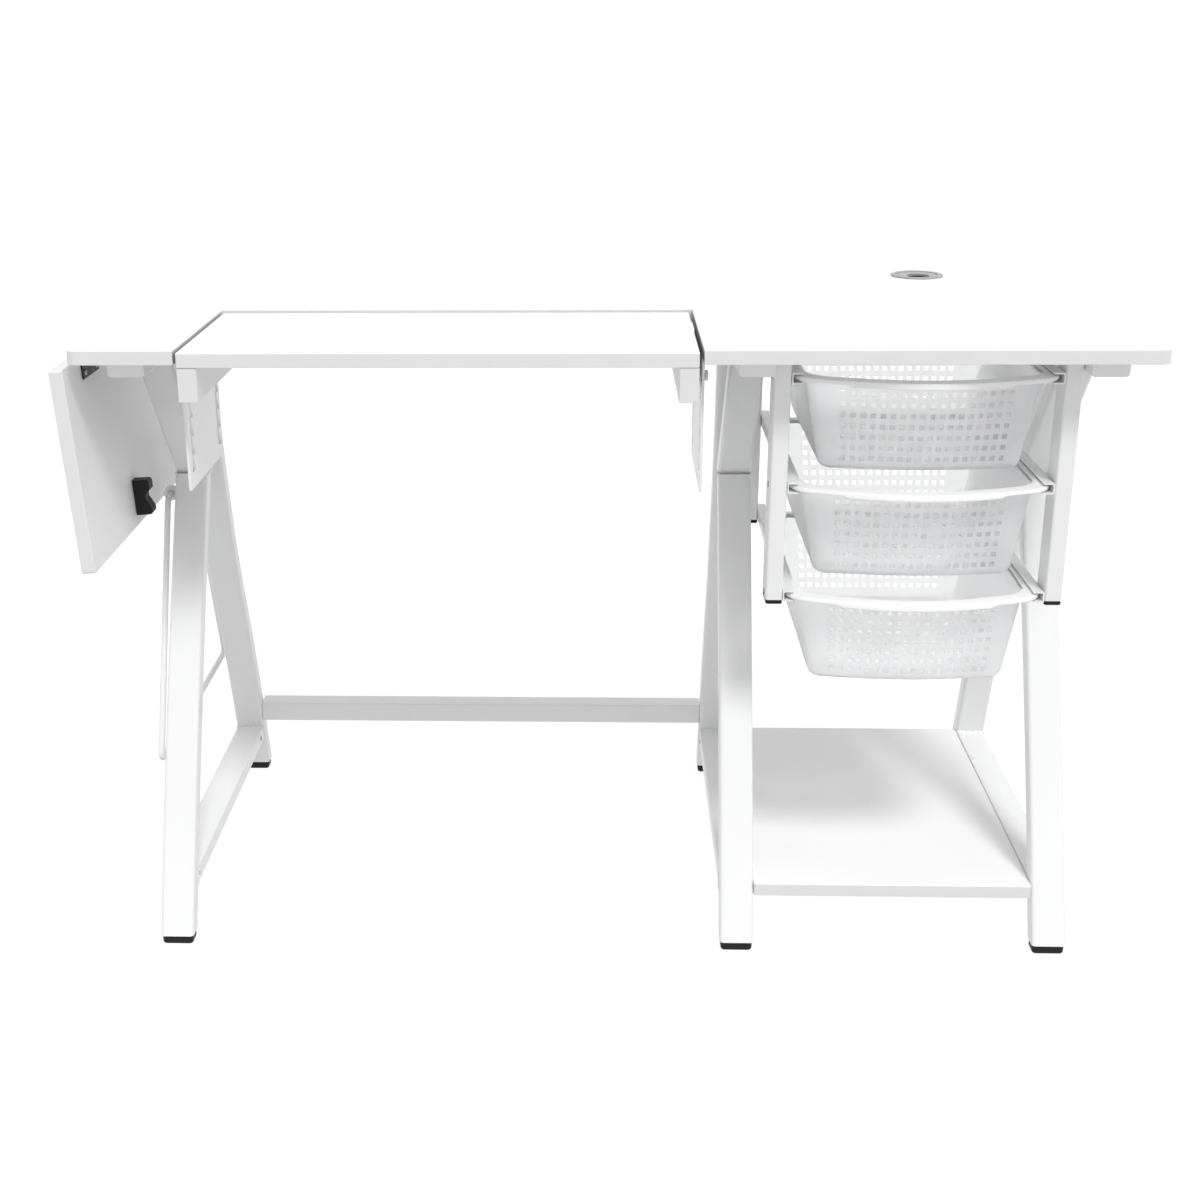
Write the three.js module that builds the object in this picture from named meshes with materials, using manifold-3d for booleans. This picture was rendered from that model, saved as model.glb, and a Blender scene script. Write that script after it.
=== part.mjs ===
// A sewing table, in millimetres, +Z up. The floor is Z = 0, the sitter is on the -Y side and +X is to the
// right. The desktop is one U-shaped board. A height-adjustable platform fills its front notch, a drop leaf
// hangs on its left edge, and three sliding baskets and a low shelf sit between the middle and right frames.
import * as THREE from "three";
import { mergeVertices } from "three/addons/utils/BufferGeometryUtils.js";
import Module from "manifold-3d";

const wasm = await Module();
wasm.setup();

// ---------------------------------------------------------------- driving dimensions
const GAP = 0.3; // clearance between pieces that touch
const DEG = Math.PI / 180;

const DESK = { width: 1210, depth: 597, top: 768, board: 16, corner: 12 };
const NOTCH = { left: -485, right: 100, back: -34 };
const PLATFORM = { left: -482, right: 95, back: -38, top: 765 };
const CLEAT = { width: 22, height: 39, back: -60 };
const LEAF = { span: 238, inset: 2, tilt: 3.7 };
const TUBE = { width: 42, depth: 25, round: 4 };
const RAIL = { height: 20, reach: 267 };
const KNEE_Z = 548; // where the front leg passes into the upper strut
const FRAME_X = [-547, 161, 549];
const FRAME_NAMES = ["left", "middle", "right"];
const FOOT = { height: 12, inset: 1.4 };
const BAR = { top: 82, height: 22 };
const SHELF = { front: -238, back: 251, thickness: 16 };
const STRETCHER = { front: 237, depth: 33, bottom: 94, height: 29 };
const POST = { width: 20, depth: 40, frontY: -240, rearY: 90, bottom: 460, cap: 4.5 };
const RUNNER = { flange: 13, height: 13, wall: 1.6, tops: [731, 603, 471.5] };
const RUNNER_NAMES = ["top", "middle", "bottom"];
const BASKET = { height: 112, wall: 2, rim: 6, front: -243, back: 108, bow: 38 };
const PLATE = { front: -255, back: -80, bottom: 596, thickness: 3, flange: 26 };
const SLOT = { channel: 7.6, pocket: 18, pitch: 22, notches: 6, topZ: 728, frontY: [-241, -104] };
const PEG = { radius: 3, head: 6, headLength: 4, play: 1, root: 2 };
const HINGE = { length: 64, leaf: 27, sheet: 1.5, knuckle: 3.2, pin: 1.6, centreY: [-200, 200] };
const HINGE_AXIS = { out: 1.5, below: 3 }; // how far the axis lies outside and below the board's lower corner
const CATCH = { width: 18, near: 182, far: 227, depth: 21.5, frontY: [-106, 166] };
// the seat of the raised bail is given by how far from the leaf's hinge and how far below the leaf it lies
const SEAT = { reach: 203, below: 19.5 };
const BAIL = { rod: 4, x: -578, pivotZ: 520, stub: 26, corner: 14 };
const BAIL_Y = { frontTop: -12, rearTop: 122, front: -152, rear: 240 };
const EYE = { outer: 9.6, bore: 4.5, length: 10, inset: 1 };
const GROMMET = { x: 422, y: 235, flange: 35.6, hole: 30.6, sleeve: 29.8, bore: 27.6 };
const COVER = { radius: 27, thickness: 3, notch: 14.5, notchY: -6, drop: 1.5 };

// ---------------------------------------------------------------- values worked out from them
const boardBottom = DESK.top - DESK.board;
const halfWidth = DESK.width / 2;
const halfDepth = DESK.depth / 2;
const steelTop = boardBottom - GAP;
const railBottom = steelTop - RAIL.height;
const halfTube = TUBE.width / 2;
const hingeX = -halfWidth - HINGE_AXIS.out;
const hingeZ = boardBottom - HINGE_AXIS.below;
const hangAngle = -(90 + LEAF.tilt) * DEG;
const bailLength = Math.hypot(BAIL.x - (hingeX - SEAT.reach), boardBottom - SEAT.below - BAIL.pivotZ);

// ---------------------------------------------------------------- materials
function finish(color, roughness, metalness = 0, opacity = 1) {
  return new THREE.MeshStandardMaterial({ color, roughness, metalness, opacity, transparent: opacity < 1 });
}
const board = finish(0xf1f1ef, 0.45);
const whiteSteel = finish(0xe9eaea, 0.4, 0.1);
const blackPlastic = finish(0x151515, 0.55);
const blackSteel = finish(0x1b1b1c, 0.45, 0.6);
const basketPlastic = finish(0xe4e7e8, 0.4, 0, 0.75);
const greyPlastic = finish(0x9a9c9e, 0.5);

// ---------------------------------------------------------------- shape helpers
function toSolid(geometry) {
  const bare = geometry.clone();
  for (const name of Object.keys(bare.attributes)) {
    if (name !== "position") bare.deleteAttribute(name);
  }
  const merged = mergeVertices(bare, 1e-4);
  const mesh = new wasm.Mesh({
    numProp: 3,
    vertProperties: new Float32Array(merged.attributes.position.array),
    triVerts: new Uint32Array(merged.index.array),
  });
  return new wasm.Manifold(mesh);
}

function toGeometry(solid) {
  const mesh = solid.getMesh();
  const geometry = new THREE.BufferGeometry();
  geometry.setAttribute("position", new THREE.BufferAttribute(new Float32Array(mesh.vertProperties), 3));
  geometry.setIndex(new THREE.BufferAttribute(new Uint32Array(mesh.triVerts), 1));
  return geometry;
}

function join(...geometries) {
  return toGeometry(geometries.map(toSolid).reduce((sum, next) => sum.add(next)));
}

function cut(body, ...tools) {
  return toGeometry(tools.map(toSolid).reduce((left, next) => left.subtract(next), toSolid(body)));
}

function box(x0, x1, y0, y1, z0, z1) {
  const geometry = new THREE.BoxGeometry(x1 - x0, y1 - y0, z1 - z0);
  return geometry.translate((x0 + x1) / 2, (y0 + y1) / 2, (z0 + z1) / 2);
}

// Extrudes an outline with its edges softened by the round, and keeps it inside the outline and the depth.
function prism(shape, depth, round = 0, steps = 2, arcSteps = 3) {
  return new THREE.ExtrudeGeometry(shape, {
    depth: depth - 2 * round,
    bevelEnabled: round > 0,
    bevelThickness: round,
    bevelSize: round,
    bevelOffset: -round,
    bevelSegments: steps,
    curveSegments: arcSteps,
  }).translate(0, 0, round);
}

function alongX(geometry, x0) {
  const turn = new THREE.Matrix4().makeBasis(
    new THREE.Vector3(0, 1, 0),
    new THREE.Vector3(0, 0, 1),
    new THREE.Vector3(1, 0, 0),
  );
  return geometry.applyMatrix4(turn).translate(x0, 0, 0);
}

function alongY(geometry, yBack) {
  const turn = new THREE.Matrix4().makeBasis(
    new THREE.Vector3(1, 0, 0),
    new THREE.Vector3(0, 0, 1),
    new THREE.Vector3(0, -1, 0),
  );
  return geometry.applyMatrix4(turn).translate(0, yBack, 0);
}

function inOrder(a, b) {
  return [Math.min(a, b), Math.max(a, b)];
}

function polygon(points) {
  return new THREE.Shape(points.map(([a, b]) => new THREE.Vector2(a, b)));
}

function roundedRect(x0, x1, y0, y1, r) {
  const shape = new THREE.Shape();
  shape.moveTo(x0 + r, y0);
  shape.lineTo(x1 - r, y0);
  shape.absarc(x1 - r, y0 + r, r, -Math.PI / 2, 0);
  shape.lineTo(x1, y1 - r);
  shape.absarc(x1 - r, y1 - r, r, 0, Math.PI / 2);
  shape.lineTo(x0 + r, y1);
  shape.absarc(x0 + r, y1 - r, r, Math.PI / 2, Math.PI);
  shape.lineTo(x0, y0 + r);
  shape.absarc(x0 + r, y0 + r, r, Math.PI, 1.5 * Math.PI);
  return shape;
}

// A ring round an upright axis, from a closed profile of radius and height pairs.
function ringZ(profile, x, y) {
  const points = [...profile, profile[0]].map(([radius, z]) => new THREE.Vector2(radius, z));
  return new THREE.LatheGeometry(points, 40).rotateX(Math.PI / 2).translate(x, y, 0);
}

// A round bar whose axis runs along Y, hollow when inner is over zero.
function barrelY(x, z, y0, y1, outer, inner = 0) {
  const points = inner
    ? [[inner, y0], [outer, y0], [outer, y1], [inner, y1], [inner, y0]]
    : [[0, y0], [outer, y0], [outer, y1], [0, y1]];
  return new THREE.LatheGeometry(points.map(([r, h]) => new THREE.Vector2(r, h)), 20).translate(x, 0, z);
}

function barrelX(y, z, x0, x1, radius) {
  const points = [[0, x0], [radius, x0], [radius, x1], [0, x1]].map(([r, h]) => new THREE.Vector2(r, h));
  return new THREE.LatheGeometry(points, 16).rotateZ(-Math.PI / 2).translate(0, y, z);
}

// ---------------------------------------------------------------- scene graph
const table = new THREE.Group();

function piece(name, geometry, material, parent = table) {
  const mesh = new THREE.Mesh(geometry, material);
  mesh.name = name;
  parent.add(mesh);
}

// ---------------------------------------------------------------- desktop, platform and cable grommet
function deskOutline() {
  const r = DESK.corner;
  const shape = new THREE.Shape();
  shape.moveTo(-halfWidth + r, -halfDepth);
  shape.lineTo(NOTCH.left, -halfDepth);
  shape.lineTo(NOTCH.left, NOTCH.back);
  shape.lineTo(NOTCH.right, NOTCH.back);
  shape.lineTo(NOTCH.right, -halfDepth);
  shape.lineTo(halfWidth - r, -halfDepth);
  shape.absarc(halfWidth - r, -halfDepth + r, r, -Math.PI / 2, 0);
  shape.lineTo(halfWidth, halfDepth - r);
  shape.absarc(halfWidth - r, halfDepth - r, r, 0, Math.PI / 2);
  shape.lineTo(-halfWidth + r, halfDepth);
  shape.absarc(-halfWidth + r, halfDepth - r, r, Math.PI / 2, Math.PI);
  shape.lineTo(-halfWidth, -halfDepth + r);
  shape.absarc(-halfWidth + r, -halfDepth + r, r, Math.PI, 1.5 * Math.PI);
  const hole = new THREE.Path();
  hole.absellipse(GROMMET.x, GROMMET.y, GROMMET.hole, GROMMET.hole, 0, 2 * Math.PI, true);
  shape.holes.push(hole);
  return shape;
}

function addDesktop() {
  piece("desktop", prism(deskOutline(), DESK.board, 0, 0, 16).translate(0, 0, boardBottom), board);
}

function addPlatform() {
  const outline = roundedRect(PLATFORM.left, PLATFORM.right, -halfDepth, PLATFORM.back, 2);
  const bottom = PLATFORM.top - DESK.board;
  piece("sewing_platform", prism(outline, DESK.board).translate(0, 0, bottom), board);
  const cleatTop = bottom - GAP;
  for (const side of ["left", "right"]) {
    const toLeft = side === "left";
    const x0 = toLeft ? PLATFORM.left : PLATFORM.right - CLEAT.width;
    const block = box(x0, x0 + CLEAT.width, -halfDepth + 1, CLEAT.back, cleatTop - CLEAT.height, cleatTop);
    const pegs = SLOT.frontY.flatMap((slotY) => {
      const y = slotY + SLOT.channel / 2;
      const face = toLeft ? x0 : x0 + CLEAT.width;
      const out = toLeft ? -1 : 1;
      const notchSide = toLeft ? NOTCH.left : NOTCH.right;
      const headStart = notchSide + out * (GAP + PLATE.thickness + PEG.play);
      const headEnd = headStart + out * PEG.headLength;
      const shank = barrelX(y, SLOT.topZ, ...inOrder(face - out * PEG.root, headStart + out), PEG.radius);
      const head = barrelX(y, SLOT.topZ, ...inOrder(headStart, headEnd), PEG.head);
      return [shank, head];
    });
    piece(`platform_cleat_${side}`, join(block, ...pegs), board);
  }
}

// The slot in a height plate: a straight channel with hooked pockets behind it, one per height.
function slotTools(frontY, x0, thickness) {
  const tip = frontY + SLOT.channel;
  const deep = frontY + SLOT.pocket;
  const highest = SLOT.topZ + PEG.radius + 1.5;
  const lowest = SLOT.topZ - (SLOT.notches - 1) * SLOT.pitch - PEG.radius - 2;
  const tools = [box(x0 - 1, x0 + thickness + 1, frontY, tip, lowest, highest)];
  for (let k = 0; k < SLOT.notches; k += 1) {
    const seat = SLOT.topZ - k * SLOT.pitch - PEG.radius;
    const pocket = polygon([
      [tip - 2, seat - 1.5],
      [deep - 4, seat - 4.5],
      [deep, seat - 2],
      [deep - 3, seat + 3],
      [tip - 2, Math.min(seat + 14, highest)],
    ]);
    tools.push(alongX(prism(pocket, thickness + 2), x0 - 1));
  }
  return tools;
}

function addHeightPlates() {
  for (const side of ["left", "right"]) {
    const toLeft = side === "left";
    const x0 = toLeft ? NOTCH.left - GAP - PLATE.thickness : NOTCH.right + GAP;
    const blank = box(x0, x0 + PLATE.thickness, PLATE.front, PLATE.back, PLATE.bottom, steelTop);
    const web = cut(blank, ...SLOT.frontY.flatMap((y) => slotTools(y, x0, PLATE.thickness)));
    const far = toLeft ? x0 + PLATE.thickness - PLATE.flange : x0 + PLATE.flange;
    const near = toLeft ? x0 + PLATE.thickness : x0;
    const flangeBottom = steelTop - PLATE.thickness;
    const flange = box(...inOrder(near, far), PLATE.front, PLATE.back, flangeBottom, steelTop);
    piece(`height_plate_${side}`, join(web, flange), whiteSteel);
  }
}

function addGrommet() {
  const top = DESK.top + GAP;
  const ledge = DESK.top - 1.8;
  const profile = [
    [GROMMET.bore - 2, boardBottom - 2],
    [GROMMET.sleeve, boardBottom - 2],
    [GROMMET.sleeve, top],
    [GROMMET.flange, top],
    [GROMMET.flange - 1, top + 2],
    [GROMMET.bore, top + 2],
    [GROMMET.bore, ledge],
    [GROMMET.bore - 2, ledge],
  ];
  piece("grommet_ring", ringZ(profile, GROMMET.x, GROMMET.y), greyPlastic);
  const disc = new THREE.Shape();
  const edge = Math.sqrt(COVER.radius ** 2 - COVER.notch ** 2);
  const start = Math.atan2(-edge, COVER.notch);
  const end = Math.atan2(-edge, -COVER.notch) + 2 * Math.PI;
  disc.absarc(0, 0, COVER.radius, start, end, false);
  disc.lineTo(-COVER.notch, COVER.notchY);
  disc.absarc(0, COVER.notchY, COVER.notch, Math.PI, 0, true);
  disc.closePath();
  const cover = prism(disc, COVER.thickness, 0, 0, 16);
  piece("grommet_cover", cover.translate(GROMMET.x, GROMMET.y, DESK.top - COVER.drop), greyPlastic);
}

// ---------------------------------------------------------------- leg frames
// Centre lines in the YZ plane, from the foot up.
const frontLegLine = new THREE.QuadraticBezierCurve(
  new THREE.Vector2(-249, FOOT.height),
  new THREE.Vector2(-142, 270),
  new THREE.Vector2(10, KNEE_Z),
);
const strutLine = new THREE.LineCurve(new THREE.Vector2(19, KNEE_Z), new THREE.Vector2(-135, railBottom));
const rearLegLine = new THREE.SplineCurve(
  [[276, FOOT.height], [240, 128], [202, 235], [140, 390], [98, 545], [85, 640], [85, railBottom]].map(
    ([y, z]) => new THREE.Vector2(y, z),
  ),
);

// Where a centre line is at height z, and half the width of its tube measured along Y there.
function sideways(line, z) {
  let low = 0;
  let high = 1;
  for (let i = 0; i < 40; i += 1) {
    const middle = (low + high) / 2;
    if (line.getPoint(middle).y < z) low = middle;
    else high = middle;
  }
  const at = line.getPoint(low);
  const direction = line.getTangent(Math.min(Math.max(low, 0.001), 0.999));
  return { y: at.x, half: TUBE.depth / 2 / Math.abs(direction.y) };
}

// The side outline of a tube that follows a centre line, cut level at both ends.
function tubeOutline(line, z0, z1, steps) {
  const front = [];
  const back = [];
  for (let i = 0; i <= steps; i += 1) {
    const z = z0 + ((z1 - z0) * i) / steps;
    const { y, half } = sideways(line, z);
    front.push([y - half, z]);
    back.push([y + half, z]);
  }
  return polygon([...front, ...back.reverse()]);
}

function addFrame(x, side) {
  const x0 = x - halfTube;
  const tube = (name, line, z0, z1, steps) => {
    const straight = prism(tubeOutline(line, z0, z1, steps), TUBE.width, TUBE.round);
    piece(`${side}_${name}`, alongX(straight, x0), whiteSteel);
  };
  tube("front_leg", frontLegLine, FOOT.height, KNEE_Z - GAP, 10);
  tube("upper_strut", strutLine, KNEE_Z, railBottom - GAP, 1);
  tube("rear_leg", rearLegLine, FOOT.height, railBottom - GAP, 18);
  const rail = roundedRect(x0, x0 + TUBE.width, railBottom, steelTop, TUBE.round);
  piece(`${side}_top_rail`, alongY(prism(rail, 2 * RAIL.reach), RAIL.reach), whiteSteel);
  const barZ = [BAR.top - BAR.height, BAR.top];
  const frontEnd = barZ.map((z) => {
    const at = sideways(frontLegLine, z);
    return [at.y + at.half + GAP, z];
  });
  const rearEnd = barZ.map((z) => {
    const at = sideways(rearLegLine, z);
    return [at.y - at.half - GAP, z];
  });
  const barShape = polygon([frontEnd[0], rearEnd[0], rearEnd[1], frontEnd[1]]);
  piece(`${side}_bottom_bar`, alongX(prism(barShape, TUBE.width - 2), x0 + 1), whiteSteel);
  for (const [end, line] of [["front", frontLegLine], ["rear", rearLegLine]]) {
    const { y, half } = sideways(line, FOOT.height);
    const inset = FOOT.inset;
    const pad = roundedRect(x0 + inset, x0 + TUBE.width - inset, y - half + inset, y + half - inset, 5);
    piece(`${side}_foot_${end}`, prism(pad, FOOT.height - GAP, 2, 2), blackPlastic);
  }
}

function addStretcherAndShelf() {
  const [left, middle, right] = FRAME_X;
  const section = roundedRect(
    STRETCHER.front,
    STRETCHER.front + STRETCHER.depth,
    STRETCHER.bottom,
    STRETCHER.bottom + STRETCHER.height,
    3,
  );
  const from = left + halfTube + GAP;
  const to = middle - halfTube - GAP;
  piece("rear_stretcher", alongX(prism(section, to - from), from), whiteSteel);
  const outline = roundedRect(middle + halfTube + GAP, right - halfTube - GAP, SHELF.front, SHELF.back, 3);
  piece("lower_shelf", prism(outline, SHELF.thickness).translate(0, 0, BAR.top - SHELF.thickness), board);
}

// ---------------------------------------------------------------- basket cabinet
const cabinetLeft = FRAME_X[1] + halfTube + GAP;
const cabinetRight = FRAME_X[2] - halfTube - GAP;
const cabinetCentre = (cabinetLeft + cabinetRight) / 2;

function addPosts() {
  for (const side of ["left", "right"]) {
    const x0 = side === "left" ? cabinetLeft : cabinetRight - POST.width;
    for (const [end, y0] of [["front", POST.frontY], ["rear", POST.rearY]]) {
      const section = roundedRect(x0, x0 + POST.width, y0, y0 + POST.depth, 3);
      const height = steelTop - POST.bottom;
      piece(`cabinet_post_${end}_${side}`, prism(section, height).translate(0, 0, POST.bottom), whiteSteel);
      const outline = roundedRect(x0 + 0.2, x0 + POST.width - 0.2, y0, y0 + POST.depth, 3);
      const cap = prism(outline, POST.cap).translate(0, 0, POST.bottom - POST.cap - GAP);
      piece(`post_cap_${end}_${side}`, cap, blackPlastic);
    }
  }
}

function addRunners() {
  RUNNER.tops.forEach((top, level) => {
    for (const side of ["left", "right"]) {
      const web = side === "left" ? cabinetLeft + POST.width + GAP : cabinetRight - POST.width - GAP;
      const inward = side === "left" ? 1 : -1;
      const at = (across, up) => [web + inward * across, top - RUNNER.height + up];
      const points = [
        at(0, 0),
        at(RUNNER.flange, 0),
        at(RUNNER.flange, RUNNER.wall),
        at(RUNNER.wall, RUNNER.wall),
        at(RUNNER.wall, RUNNER.height - RUNNER.wall),
        at(RUNNER.flange, RUNNER.height - RUNNER.wall),
        at(RUNNER.flange, RUNNER.height),
        at(0, RUNNER.height),
      ];
      const shape = polygon(points);
      const length = POST.rearY + POST.depth - POST.frontY;
      const geometry = alongY(prism(shape, length), POST.rearY + POST.depth);
      piece(`runner_${RUNNER_NAMES[level]}_${side}`, geometry, whiteSteel);
    }
  });
}

// One level loop of a basket: a rounded rectangle whose front edge bows towards the sitter.
function basketLoop(half, front, back, radius, bow, z) {
  const points = [];
  const cornerSteps = 5;
  const frontSteps = 10;
  const arc = (cx, cy, from) => {
    for (let i = 0; i <= cornerSteps; i += 1) {
      const a = from + (i / cornerSteps) * (Math.PI / 2);
      points.push([cx + radius * Math.cos(a), cy + radius * Math.sin(a)]);
    }
  };
  arc(half - radius, back - radius, 0);
  arc(-half + radius, back - radius, Math.PI / 2);
  arc(-half + radius, front + radius, Math.PI);
  for (let i = 1; i < frontSteps; i += 1) {
    points.push([(-half + radius) * (1 - (2 * i) / frontSteps), front]);
  }
  arc(half - radius, front + radius, 1.5 * Math.PI);
  return points.map(([x, y]) => {
    const towardsFront = Math.max(0, 1 - (y - front) / 60);
    return new THREE.Vector3(x, y - bow * Math.cos(((x / half) * Math.PI) / 2) * towardsFront, z);
  });
}

// Skins a stack of loops into one closed surface, with a flat fan over the first and the last loop.
function loft(loops) {
  const count = loops[0].length;
  const points = loops.flat();
  const faces = [];
  for (let level = 0; level < loops.length - 1; level += 1) {
    for (let i = 0; i < count; i += 1) {
      const a = level * count + i;
      const b = level * count + ((i + 1) % count);
      faces.push(a, b, b + count, a, b + count, a + count);
    }
  }
  const centre = (loop) => loop.reduce((sum, p) => sum.add(p), new THREE.Vector3()).divideScalar(count);
  const lowCentre = points.push(centre(loops[0])) - 1;
  const highCentre = points.push(centre(loops[loops.length - 1])) - 1;
  const last = (loops.length - 1) * count;
  for (let i = 0; i < count; i += 1) {
    faces.push(lowCentre, (i + 1) % count, i);
    faces.push(highCentre, last + i, last + ((i + 1) % count));
  }
  const geometry = new THREE.BufferGeometry().setFromPoints(points);
  geometry.setIndex(faces);
  return geometry;
}

function basketGeometry() {
  const { height, wall, rim, front, back, bow } = BASKET;
  const rimHalf = (cabinetRight - cabinetLeft) / 2 - POST.width - GAP - RUNNER.wall - 1;
  const topHalf = rimHalf - RUNNER.flange;
  const footHalf = topHalf - 22;
  const outer = (t) => ({
    half: footHalf + (topHalf - footHalf) * t,
    front: front + 18 - 4 * t,
    back: back - 30 + 18 * t,
    radius: 26,
    bow: bow * (0.3 + 0.55 * t),
    z: height * t,
  });
  const sole = { ...outer(0), half: footHalf - 8, front: front + 25, back: back - 38 };
  const loop = (o, inset, z) =>
    basketLoop(o.half - inset, o.front + inset, o.back - inset, o.radius - inset, o.bow, z);
  const lowerRim = height - rim;
  const rimAt = outer(1);
  return loft([
    loop(sole, 0, 0),
    loop(outer(0.09), 0, height * 0.09),
    loop(rimAt, 0, lowerRim),
    basketLoop(rimHalf, front, back, 22, bow, lowerRim),
    basketLoop(rimHalf, front, back, 22, bow, height),
    loop(rimAt, wall, height),
    loop(outer(0.1), wall, height * 0.1 + wall),
    loop(sole, wall, wall),
  ]);
}

function addBaskets() {
  RUNNER.tops.forEach((top, level) => {
    const rimTop = top - RUNNER.wall - (RUNNER.height - 2 * RUNNER.wall - BASKET.rim) / 2;
    const geometry = basketGeometry().translate(cabinetCentre, 0, rimTop - BASKET.height);
    piece(`basket_${RUNNER_NAMES[level]}`, geometry, basketPlastic);
  });
}

// ---------------------------------------------------------------- drop leaf, its hinges, catches and bail
function addHingeHalf(name, centreY, towards, fixed, parent, centreX, centreZ) {
  const third = HINGE.length / 3;
  const y0 = centreY - HINGE.length / 2;
  const plateNear = centreX + towards * (HINGE.knuckle * 0.6);
  const plateFar = centreX + towards * HINGE.leaf;
  const clearNear = centreX + towards * (HINGE.knuckle + 0.6);
  const plateZ1 = centreZ + HINGE_AXIS.below - GAP;
  const plateZ0 = plateZ1 - HINGE.sheet;
  const parts = [box(...inOrder(clearNear, plateFar), y0, y0 + HINGE.length, plateZ0, plateZ1)];
  const knuckles = fixed ? [0, 2] : [1];
  for (const k of knuckles) {
    const from = y0 + k * third + (fixed ? 0 : GAP);
    const to = y0 + (k + 1) * third - (fixed ? 0 : GAP);
    parts.push(barrelY(centreX, centreZ, from, to, HINGE.knuckle, fixed ? 0 : HINGE.pin + 0.1));
    parts.push(box(...inOrder(plateNear, plateFar - towards * 8), from, to, plateZ0, plateZ1));
  }
  if (fixed) parts.push(barrelY(centreX, centreZ, y0, y0 + HINGE.length, HINGE.pin));
  piece(name, join(...parts), blackSteel, parent);
}

// The catch's side view: a block under the leaf with a notch that the raised bail rests in.
function catchOutline() {
  const seat = SEAT.below - BAIL.rod - GAP - 0.2;
  const { near, far, depth } = CATCH;
  return polygon([
    [near, GAP],
    [far, GAP],
    [far, depth - 5],
    [far - 3, depth - 0.2],
    [far - 6.5, depth],
    [SEAT.reach + 14, depth - 1.3],
    [SEAT.reach + 8, seat + 2.2],
    [SEAT.reach + 3.5, seat - 0.2],
    [SEAT.reach - 2, seat - 0.4],
    [SEAT.reach - 6.5, depth - 2.2],
    [SEAT.reach - 9, depth - 0.2],
    [near + 4, depth],
    [near, depth - 3.5],
  ].map(([reach, below]) => [-reach, HINGE_AXIS.below - below]).reverse());
}

function addLeaf() {
  const leaf = new THREE.Group();
  leaf.position.set(hingeX, 0, hingeZ);
  leaf.rotation.y = hangAngle;
  table.add(leaf);
  const outline = roundedRect(-LEAF.inset - LEAF.span, -LEAF.inset, -halfDepth, halfDepth, 3);
  piece("drop_leaf", prism(outline, DESK.board).translate(0, 0, HINGE_AXIS.below), board, leaf);
  HINGE.centreY.forEach((centreY, i) => {
    const end = i === 0 ? "front" : "rear";
    addHingeHalf(`hinge_fixed_${end}`, centreY, 1, true, table, hingeX, hingeZ);
    addHingeHalf(`hinge_moving_${end}`, centreY, -1, false, leaf, 0, 0);
    const bracket = alongY(prism(catchOutline(), CATCH.width), CATCH.frontY[i] + CATCH.width);
    piece(`leaf_catch_${end}`, bracket, blackPlastic, leaf);
  });
}

// The bail is one bent rod: two splayed arms, a bar between them at the bottom and a stub at each top end.
function bailPath() {
  const barZ = BAIL.pivotZ - bailLength;
  const stops = [
    [BAIL_Y.frontTop + BAIL.stub, BAIL.pivotZ],
    [BAIL_Y.frontTop, BAIL.pivotZ],
    [BAIL_Y.front, barZ],
    [BAIL_Y.rear, barZ],
    [BAIL_Y.rearTop, BAIL.pivotZ],
    [BAIL_Y.rearTop - BAIL.stub, BAIL.pivotZ],
  ].map(([y, z]) => new THREE.Vector3(BAIL.x, y, z));
  const path = new THREE.CurvePath();
  let from = stops[0];
  for (let i = 1; i < stops.length - 1; i += 1) {
    const into = stops[i].clone().add(stops[i - 1].clone().sub(stops[i]).setLength(BAIL.corner));
    const out = stops[i].clone().add(stops[i + 1].clone().sub(stops[i]).setLength(BAIL.corner));
    path.add(new THREE.LineCurve3(from, into));
    path.add(new THREE.QuadraticBezierCurve3(into, stops[i], out));
    from = out;
  }
  path.add(new THREE.LineCurve3(from, stops[stops.length - 1]));
  return path;
}

function addBail() {
  const section = new THREE.Shape();
  section.absarc(0, 0, BAIL.rod, 0, 2 * Math.PI, false);
  const geometry = new THREE.ExtrudeGeometry(section, {
    steps: 150,
    curveSegments: 5,
    extrudePath: bailPath(),
  });
  piece("leaf_bail", geometry, whiteSteel);
  const front = BAIL_Y.frontTop + BAIL.stub - EYE.inset;
  const rear = BAIL_Y.rearTop - BAIL.stub + EYE.inset;
  for (const [name, y0] of [["bail_sleeve_front", front - EYE.length], ["bail_sleeve_rear", rear]]) {
    const sleeve = barrelY(BAIL.x, BAIL.pivotZ, y0, y0 + EYE.length, EYE.outer, EYE.bore);
    piece(name, sleeve, whiteSteel);
  }
}

// ---------------------------------------------------------------- assembly
addDesktop();
addPlatform();
addHeightPlates();
addGrommet();
FRAME_X.forEach((x, i) => addFrame(x, FRAME_NAMES[i]));
addStretcherAndShelf();
addPosts();
addRunners();
addBaskets();
addLeaf();
addBail();

// The origin is on the floor under the middle of the whole table, with the leaf hanging.
const outerCorner = new THREE.Vector3(-LEAF.inset, 0, HINGE_AXIS.below + DESK.board);
outerCorner.applyAxisAngle(new THREE.Vector3(0, 1, 0), hangAngle);
const root = new THREE.Group();
table.position.x = -(hingeX + outerCorner.x + halfWidth) / 2;
root.add(table);

export default root;
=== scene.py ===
import math

import bmesh
import bpy
from mathutils import Matrix, Vector


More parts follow.
